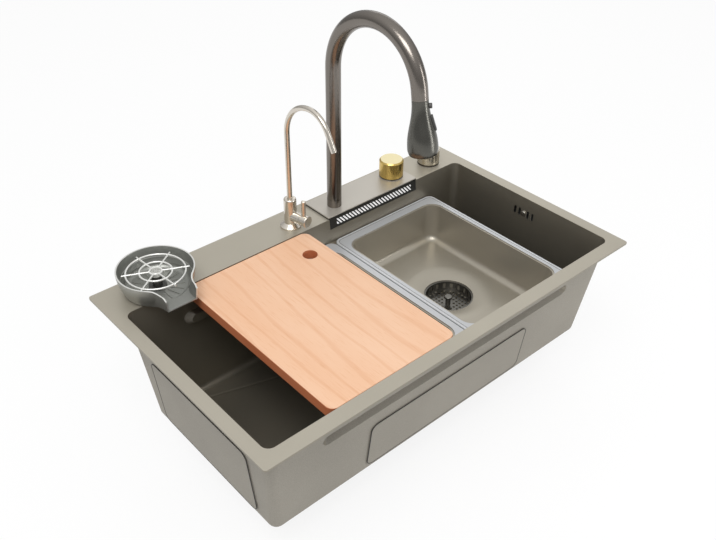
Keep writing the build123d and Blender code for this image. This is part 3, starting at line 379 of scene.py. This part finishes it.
# Taps and knobs
TAP_GRAIN = dict(lines=(1.0, 1.0, 0.04), grain=1200.0, uneven=0.03, relief=0.02, cloud=0.03)
KNOB_GRAIN = dict(lines=(1.0, 1.0, 0.06), grain=1000.0, uneven=0.04, relief=0.03)
tap_gunmetal = metal("tap_gunmetal", colour(126, 120, 114), roughness=0.24, **TAP_GRAIN)
head_gunmetal = metal("head_gunmetal", colour(98, 97, 92), roughness=0.27, **TAP_GRAIN)
polished_nickel = metal(
    "polished_nickel", colour(215, 208, 197), roughness=0.22,
    lines=(1.0, 1.0, 0.06), grain=1000.0, uneven=0.03, relief=0.015, cloud=0.03,
)
knob_silver = metal("knob_silver", colour(205, 199, 186), roughness=0.2, cloud=0.03, **KNOB_GRAIN)
knob_brass = metal("knob_brass", colour(206, 178, 106), roughness=0.27, cloud=0.04, **KNOB_GRAIN)
# The knob's flat top: its own brushed grain, and a paler tone that is a painted reflection of the bright
# overhead.
brass_top_painted_sheen = metal(
    "brass_top_painted_sheen", colour(222, 211, 170), roughness=0.32,
    lines=(1.0, 0.05, 1.0), grain=1200.0, uneven=0.04, relief=0.04, cloud=0.03,
)
# The rings under the knobs are painted dark as the shade at the knobs' feet.
dark_ring = metal(
    "dark_ring", colour(90, 86, 80), roughness=0.3,
    lines=(1.0, 1.0, 0.05), grain=1000.0, uneven=0.04, relief=0.03, cloud=0.05,
)

# Cup rinser
CAST_GRAIN = dict(lines=(1.0, 1.0, 0.2), grain=1100.0, uneven=0.04, relief=0.02, cloud=0.03, metallic=0.8)
EDGE_GRAIN = dict(lines=(1.0, 0.06, 1.0), grain=1100.0, uneven=0.04, relief=0.02, cloud=0.03)
rinser_pewter = metal("rinser_pewter", colour(166, 166, 160), roughness=0.5, **CAST_GRAIN)
# A dark copy of the cast metal, painted on the nozzle below its cap as the shade down in the cup.
nozzle_painted_shade = metal("nozzle_painted_shade", colour(92, 92, 89), roughness=0.4, **CAST_GRAIN)
rinser_inside = metal("rinser_inside", colour(160, 161, 156), roughness=0.42, **CAST_GRAIN)
# The cup's rim and lip are a brighter copy of its metal: a painted highlight along those edges.
rinser_painted_highlight = metal("rinser_painted_highlight", colour(226, 226, 222), roughness=0.34, metallic=0.8, **EDGE_GRAIN)
wire_satin = metal(
    "wire_satin", colour(236, 236, 232), roughness=0.34,
    lines=(1.0, 1.0, 0.3), grain=1400.0, uneven=0.05, relief=0.03, cloud=0.04, metallic=0.7,
)
rinser_bright = metal("rinser_bright", colour(216, 216, 210), roughness=0.2, **EDGE_GRAIN)

# Board, sound pads, seals, fittings and the spray head's plastic
beech = wood("beech", top=colour(224, 185, 155), side=colour(196, 118, 80), line=colour(236, 212, 192))
pad_coat = sprayed("pad_coat", colour(146, 141, 131))
# A dark material for painted shade: the lines round the sound pads and inside the basin's frame.
painted_shade_dark = moulded("painted_shade_dark", colour(52, 50, 46), roughness=0.6)
seal_rubber = moulded("seal_rubber", colour(38, 38, 37), roughness=0.7)
fitting_brass = metal(
    "fitting_brass", colour(202, 172, 104), roughness=0.3,
    lines=(1.0, 1.0, 0.05), grain=900.0, uneven=0.06, relief=0.08, cloud=0.06,
)
fitting_plastic = moulded("fitting_plastic", colour(92, 92, 90), roughness=0.55)
spray_plastic = moulded("spray_plastic", colour(60, 59, 57), roughness=0.4)


def dress(names, *materials):
    """Gives CAD nodes their materials, in slots that choose() may then share out among the faces."""
    for name in names.split():
        worn = nodes[name].data.materials
        worn.clear()
        for material in materials:
            worn.append(material)


def choose(name, slot_of):
    """Shares a CAD node's faces out among its slots by a rule on each face's centre and direction."""
    mesh = nodes[name].data
    for face in mesh.polygons:
        face.material_index = slot_of(face.center, face.normal)


dress("sink_bowl", coated_steel, coat_outside, bowl_inside)
dress("deck_plate", plate_steel)
dress("deck_base waterfall_grille", grille_black)
dress("wash_basin drain_basket", coated_steel, tray_frame, tray_inside)
dress("basin_strainer strainer_handle", strainer_dark)
dress("drain_body drain_tail drain_plug drain_sieve overflow_screw", fitting_steel)
dress("waterfall_chamber overflow_housing drain_control drain_control_nut drain_nut rinser_nut",
      fitting_plastic)
dress("flow_straightener", white_plastic)
dress("spout_base spout", tap_gunmetal)
dress("spray_head", head_gunmetal)
dress("spray_face spray_button spray_rocker", spray_plastic)
dress("filter_flange filter_body filter_barrel filter_cap filter_lever filter_spout", polished_nickel)
dress("mixer_knob", knob_brass, brass_top_painted_sheen)
dress("drain_knob", knob_silver)
dress("mixer_ring drain_knob_ring", dark_ring)
dress("rinser_body", rinser_pewter, rinser_painted_highlight, rinser_inside)
dress("rinser_grille", wire_satin)
dress("rinser_nozzle", rinser_bright, nozzle_painted_shade)
dress("cutting_board board_battens", beech)
dress("sound_pads", pad_coat)
dress("rim_seal spout_washer mixer_washer filter_washer rinser_washer drain_gasket overflow_gasket",
      seal_rubber)
dress("spout_shank spout_nut mixer_valve mixer_nut filter_shank filter_nut rinser_shank spray_connector",
      fitting_brass)


def away_from(x, y, centre, direction):
    """How far a face looks away from the upright line at x and y. It is below 0 where it looks towards it."""
    return direction.x * (centre.x - x) + direction.y * (centre.y - y)


def in_channel(centre):
    """Whether a place lies at the height and along the length of the channels pressed into the long walls."""
    return CHANNEL_LOW < centre.z < CHANNEL_HIGH and abs(centre.x) < CHANNEL_REACH


def bowl_side(centre, direction):
    """1 for the sprayed outside of the bowl, 2 for its satin inside and 0 for its rim."""
    outward = away_from(0.0, BOWL_MIDDLE_Y, centre, direction) > 0
    outside = outward and (direction.z < FACES_UP or in_channel(centre)) or direction.z < -FACES_UP
    if outside and centre.z < -MARGIN:
        return 1
    return 2 if centre.z < RIM_TOP - BOWL_RIM_DEPTH else 0


def tray_side(name):
    """A rule that gives 1 on a tray's folded frame, 0 outside its pan and 2 inside it."""
    low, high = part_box(name)
    middle_x = (low.x + high.x) / 2

    def rule(centre, direction):
        if centre.z > TRAY_FRAME_FROM:
            return 1
        outward = away_from(middle_x, BOWL_MIDDLE_Y, centre, direction) > 0 and direction.z < FACES_UP
        if outward and centre.z > TRAY_FRAME_SIDE_FROM:
            return 1
        return 0 if outward or direction.z < -FACES_UP else 2
    return rule


def mixer_side():
    """A rule that gives 1 on the flat top of the brass knob, which is painted paler as a reflection, and 0
    elsewhere.
    """
    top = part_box("mixer_knob")[1].z

    def rule(centre, direction):
        return 1 if direction.z > KNOB_TOP_FACES_UP and centre.z > top - KNOB_TOP_DEPTH else 0
    return rule


def rinser_side():
    """A rule that gives 1 on the rinser's rim and lip, which are painted bright as a highlight, 2 inside its
    cup and 0 outside.
    """
    low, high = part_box("rinser_body")
    cup_x = (low.x + high.x) / 2
    cup_y = high.y - (high.x - low.x) / 2

    def rule(centre, direction):
        on_rim = direction.z > CUP_RIM_FACES_UP and centre.z > RIM_TOP + CUP_RIM_FROM
        on_lip = direction.y < -LIP_FACES_FRONT and centre.y < low.y + MARGIN
        if on_rim or on_lip:
            return 1
        return 2 if away_from(cup_x, cup_y, centre, direction) < 0 or direction.z > FACES_UP else 0
    return rule


def nozzle_side():
    """A rule that gives 0 on the bright cap of the rinser's nozzle and 1 below it, where the nozzle is
    painted dark as the shade down in the cup.
    """
    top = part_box("rinser_nozzle")[1].z

    def rule(centre, direction):
        return 0 if centre.z > top - NOZZLE_CAP_DEPTH else 1
    return rule


choose("sink_bowl", bowl_side)
choose("wash_basin", tray_side("wash_basin"))
choose("drain_basket", tray_side("drain_basket"))
choose("mixer_knob", mixer_side())
choose("rinser_body", rinser_side())
choose("rinser_nozzle", nozzle_side())


def mesh_piece(name, body, material, points, faces):
    """A smooth piece made in mesh code, shown with the body that it rides on."""
    mesh = bpy.data.meshes.new(name)
    mesh.from_pydata([tuple(point) for point in points], [], faces)
    mesh.materials.append(material)
    made = bmesh.new()
    made.from_mesh(mesh)
    bmesh.ops.recalc_face_normals(made, faces=made.faces)
    made.to_mesh(mesh)
    made.free()
    for face in mesh.polygons:
        face.use_smooth = True
    piece = bpy.data.objects.new(name, mesh)
    bpy.context.scene.collection.objects.link(piece)
    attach(piece, body)


def tube(path, radius, sides, closed):
    """Vertices and faces of a round bead along a path of (point, side, up) frames."""
    points = []
    for at, side, up in path:
        for number in range(sides):
            angle = 2 * math.pi * number / sides
            points.append(at + side * (radius * math.cos(angle)) + up * (radius * math.sin(angle)))
    faces = []
    count = len(path)
    for ring in range(count if closed else count - 1):
        here = ring * sides
        there = (ring + 1) % count * sides
        for number in range(sides):
            beside = (number + 1) % sides
            faces.append((here + number, here + beside, there + beside, there + number))
    if not closed:
        faces.append(tuple(range(sides - 1, -1, -1)))
        faces.append(tuple((count - 1) * sides + number for number in range(sides)))
    return points, faces


def rounded_outline(length, height, corner):
    """Points of a rounded rectangle about its centre, with the way out at each."""
    outline = []
    for turn, (side_x, side_y) in enumerate(((1, 1), (-1, 1), (-1, -1), (1, -1))):
        centre = (side_x * (length / 2 - corner), side_y * (height / 2 - corner))
        for step in range(CORNER_STEPS + 1):
            angle = math.pi / 2 * (turn + step / CORNER_STEPS)
            way = (math.cos(angle), math.sin(angle))
            outline.append(((centre[0] + corner * way[0], centre[1] + corner * way[1]), way))
    return outline


def rounded_path(middle, along, up, out, length, height, corner):
    """The frames of a rounded rectangle about its middle, in the plane of along and up, for tube()."""
    path = []
    for (across, rise), (way_x, way_y) in rounded_outline(length, height, corner):
        path.append((middle + along * across + up * rise, along * way_x + up * way_y, out))
    return path


def pad_shade_line(name, side_x, side_y, length, top):
    """A dark bead round the pad on one wall: painted shade along the gap at the pad's edge."""
    lean = END_LEAN if side_x else SIDE_LEAN
    out = Vector((side_x, side_y, -lean / BOWL_DEPTH)).normalized()
    along = Vector((-side_y, side_x, 0.0))
    up = out.cross(along).normalized()
    rim = Vector((side_x * (HALF_LENGTH + SHEET), BOWL_MIDDLE_Y + side_y * (HALF_WIDTH + SHEET), RIM_TOP))
    middle = rim - up * (top + PAD_BOTTOM) / 2 + out * (PAD_THICKNESS - SHADE_LINE_SUNK)
    outward = along.cross(up).normalized()
    path = rounded_path(middle, along, up, outward, length, PAD_BOTTOM - top, PAD_CORNER)
    points, faces = tube(path, SHADE_LINE_RADIUS, BEAD_SIDES, closed=True)
    mesh_piece(name, "sink", painted_shade_dark, points, faces)


# Dark beads of painted shade round the four sound pads.
pad_shade_line("pad_shade_front", side_x=0, side_y=-1, length=SIDE_PAD_LENGTH, top=SIDE_PAD_TOP)
pad_shade_line("pad_shade_back", side_x=0, side_y=1, length=SIDE_PAD_LENGTH, top=SIDE_PAD_TOP)
pad_shade_line("pad_shade_left", side_x=-1, side_y=0, length=END_PAD_LENGTH, top=END_PAD_TOP)
pad_shade_line("pad_shade_right", side_x=1, side_y=0, length=END_PAD_LENGTH, top=SIDE_PAD_TOP)


def frame_bead(name, tray, inset, corner, radius, material):
    """The fine raised line that the fold leaves along a tray's frame."""
    low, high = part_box(tray)
    middle = Vector(((low.x + high.x) / 2, (low.y + high.y) / 2, high.z - radius + BEAD_PROUD))
    length = high.x - low.x - 2 * inset
    width = high.y - low.y - 2 * inset
    along = Vector((1.0, 0.0, 0.0))
    across = Vector((0.0, 1.0, 0.0))
    path = rounded_path(middle, along, across, Vector((0.0, 0.0, 1.0)), length, width, corner)
    points, faces = tube(path, radius, BEAD_SIDES, closed=True)
    mesh_piece(name, tray, material, points, faces)


# The outer line is painted pale as a highlight along the fold, and the inner one painted dark as the shade
# beside it.
frame_bead("basin_outer_line", "wash_basin", inset=0.0022, corner=0.0118, radius=0.0005, material=frame_painted_highlight)
frame_bead("basin_inner_line", "wash_basin", inset=0.0052, corner=0.0088, radius=0.0004, material=painted_shade_dark)


def thread(name, x, y, radius, low, high, pitch, material):
    """Helical thread ridge round an upright shank at x and y."""
    turns = (high - low) / pitch
    steps = int(turns * STEPS_PER_TURN)
    path = []
    for step in range(steps + 1):
        angle = 2 * math.pi * turns * step / steps
        way = Vector((math.cos(angle), math.sin(angle), 0.0))
        at = Vector((x, y, low + (high - low) * step / steps)) + way * radius
        path.append((at, way, Vector((0.0, 0.0, 1.0))))
    points, faces = tube(path, pitch * RIDGE_SHARE, RIDGE_SIDES, closed=False)
    mesh_piece(name, "sink", material, points, faces)


def shank_thread(name, x, y, radius, pitch):
    """The brass thread of a tap's shank, under the ledge."""
    thread(name, x, y, radius, SHANK_THREAD_LOW, SHANK_THREAD_HIGH, pitch, fitting_brass)


shank_thread("spout_thread", x=0.075, y=0.179, radius=0.0103, pitch=0.0018)
shank_thread("filter_thread", x=-0.0205, y=0.1805, radius=0.0053, pitch=0.0014)
shank_thread("rinser_thread", x=-0.2815, y=0.177, radius=0.0098, pitch=0.0018)
thread("tail_thread", x=0.159, y=-0.030, radius=0.0236, low=-0.2625, high=-0.242, pitch=0.0022,
       material=fitting_steel)


def floor_material():
    """Diffuse paint, with most of it replaced by plain white for the camera, in gloss and through glass."""
    material = bpy.data.materials.new("floor_white")
    material.use_nodes = True
    tree = material.node_tree
    tree.nodes.clear()
    output = tree.nodes.new("ShaderNodeOutputMaterial")
    diffuse = tree.nodes.new("ShaderNodeBsdfDiffuse")
    diffuse.inputs["Color"].default_value = grey(FLOOR_TONE)
    glow = tree.nodes.new("ShaderNodeEmission")
    glow.inputs["Color"].default_value = WHITE
    rays = tree.nodes.new("ShaderNodeLightPath")
    seen = rays.outputs["Is Camera Ray"]
    for kind in ("Is Glossy Ray", "Is Transmission Ray"):
        either = tree.nodes.new("ShaderNodeMath")
        either.operation = "MAXIMUM"
        tree.links.new(seen, either.inputs[0])
        tree.links.new(rays.outputs[kind], either.inputs[1])
        seen = either.outputs[0]
    share = tree.nodes.new("ShaderNodeMath")
    share.operation = "MULTIPLY"
    share.inputs[1].default_value = FLOOR_WHITE_SHARE
    tree.links.new(seen, share.inputs[0])
    mix = tree.nodes.new("ShaderNodeMixShader")
    tree.links.new(share.outputs[0], mix.inputs["Fac"])
    tree.links.new(diffuse.outputs[0], mix.inputs[1])
    tree.links.new(glow.outputs[0], mix.inputs[2])
    tree.links.new(mix.outputs[0], output.inputs["Surface"])
    return material


def build_floor():
    """A plain pale floor that shows white to the eye and in reflections, and keeps a soft shadow."""
    mesh = bpy.data.meshes.new("floor")
    half = FLOOR_SIZE / 2
    corners = [(-half, -half, FLOOR_Z), (half, -half, FLOOR_Z), (half, half, FLOOR_Z), (-half, half, FLOOR_Z)]
    mesh.from_pydata(corners, [], [(0, 1, 2, 3)])
    floor = bpy.data.objects.new("floor", mesh)
    bpy.context.scene.collection.objects.link(floor)
    mesh.materials.append(floor_material())


def build_world():
    """A soft studio surround, brighter overhead than at eye height. It is plain white to the camera."""
    world = bpy.data.worlds.new("studio")
    bpy.context.scene.world = world
    world.use_nodes = True
    tree = world.node_tree
    background = tree.nodes["Background"]
    place = tree.nodes.new("ShaderNodeTexCoord")
    split = tree.nodes.new("ShaderNodeSeparateXYZ")
    tree.links.new(place.outputs["Generated"], split.inputs["Vector"])
    ramp = tree.nodes.new("ShaderNodeValToRGB")
    lower, upper = ramp.color_ramp.elements
    lower.position = 0.0
    lower.color = grey(WORLD_GREY)
    upper.position = WORLD_PALE_FROM
    upper.color = grey(WORLD_PALE)
    tree.links.new(split.outputs["Z"], ramp.inputs["Fac"])
    rays = tree.nodes.new("ShaderNodeLightPath")
    mix = tree.nodes.new("ShaderNodeMix")
    mix.data_type = "RGBA"
    tree.links.new(rays.outputs["Is Camera Ray"], mix.inputs["Factor"])
    tree.links.new(ramp.outputs["Color"], mix.inputs[MIX_FIRST])
    mix.inputs[MIX_SECOND].default_value = WHITE
    tree.links.new(mix.outputs[MIX_RESULT], background.inputs["Color"])
    background.inputs["Strength"].default_value = 1.0


def area_lamp(name, at, aim, width, height, power):
    """A soft rectangular lamp that stands at one place and is turned to another."""
    lamp = bpy.data.lights.new(name, "AREA")
    lamp.shape = "RECTANGLE"
    lamp.size = width
    lamp.size_y = height
    lamp.energy = power
    made = bpy.data.objects.new(name, lamp)
    bpy.context.scene.collection.objects.link(made)
    made.location = at
    made.rotation_mode = "QUATERNION"
    made.rotation_quaternion = (Vector(aim) - Vector(at)).to_track_quat("-Z", "Y")


def build_camera():
    """The camera, turned to its azimuth and elevation and rolled about its line of sight."""
    data = bpy.data.cameras.new("camera")
    data.sensor_width = SENSOR_WIDTH
    data.sensor_fit = "HORIZONTAL"
    data.lens = CAMERA_LENS
    data.clip_start = CLIP_START
    data.clip_end = CLIP_END
    camera = bpy.data.objects.new("camera", data)
    bpy.context.scene.collection.objects.link(camera)
    flat = math.cos(CAMERA_ELEVATION)
    back_x = math.sin(CAMERA_AZIMUTH) * flat
    back_y = -math.cos(CAMERA_AZIMUTH) * flat
    back = Vector((back_x, back_y, math.sin(CAMERA_ELEVATION)))
    right = Vector((0.0, 0.0, 1.0)).cross(back).normalized()
    up = back.cross(right)
    turned_right = math.cos(CAMERA_ROLL) * right + math.sin(CAMERA_ROLL) * up
    turned_up = math.cos(CAMERA_ROLL) * up - math.sin(CAMERA_ROLL) * right
    turn = Matrix((turned_right, turned_up, back)).transposed().to_4x4()
    camera.matrix_world = Matrix.Translation(CAMERA_AT) @ turn
    bpy.context.scene.camera = camera


bpy.context.scene.view_settings.view_transform = "Standard"
build_floor()
build_world()
build_camera()
area_lamp("key", at=(-1.3, -0.9, 2.6), aim=(0.0, 0.0, 0.0), width=1.8, height=1.4, power=48.0)
area_lamp("strip", at=(1.05, -1.55, 0.4), aim=(0.0, 0.0, 0.2), width=0.3, height=1.4, power=8.0)
area_lamp("back", at=(1.6, 1.35, 1.05), aim=(0.3, 0.15, 0.0), width=1.2, height=0.8, power=2.4)
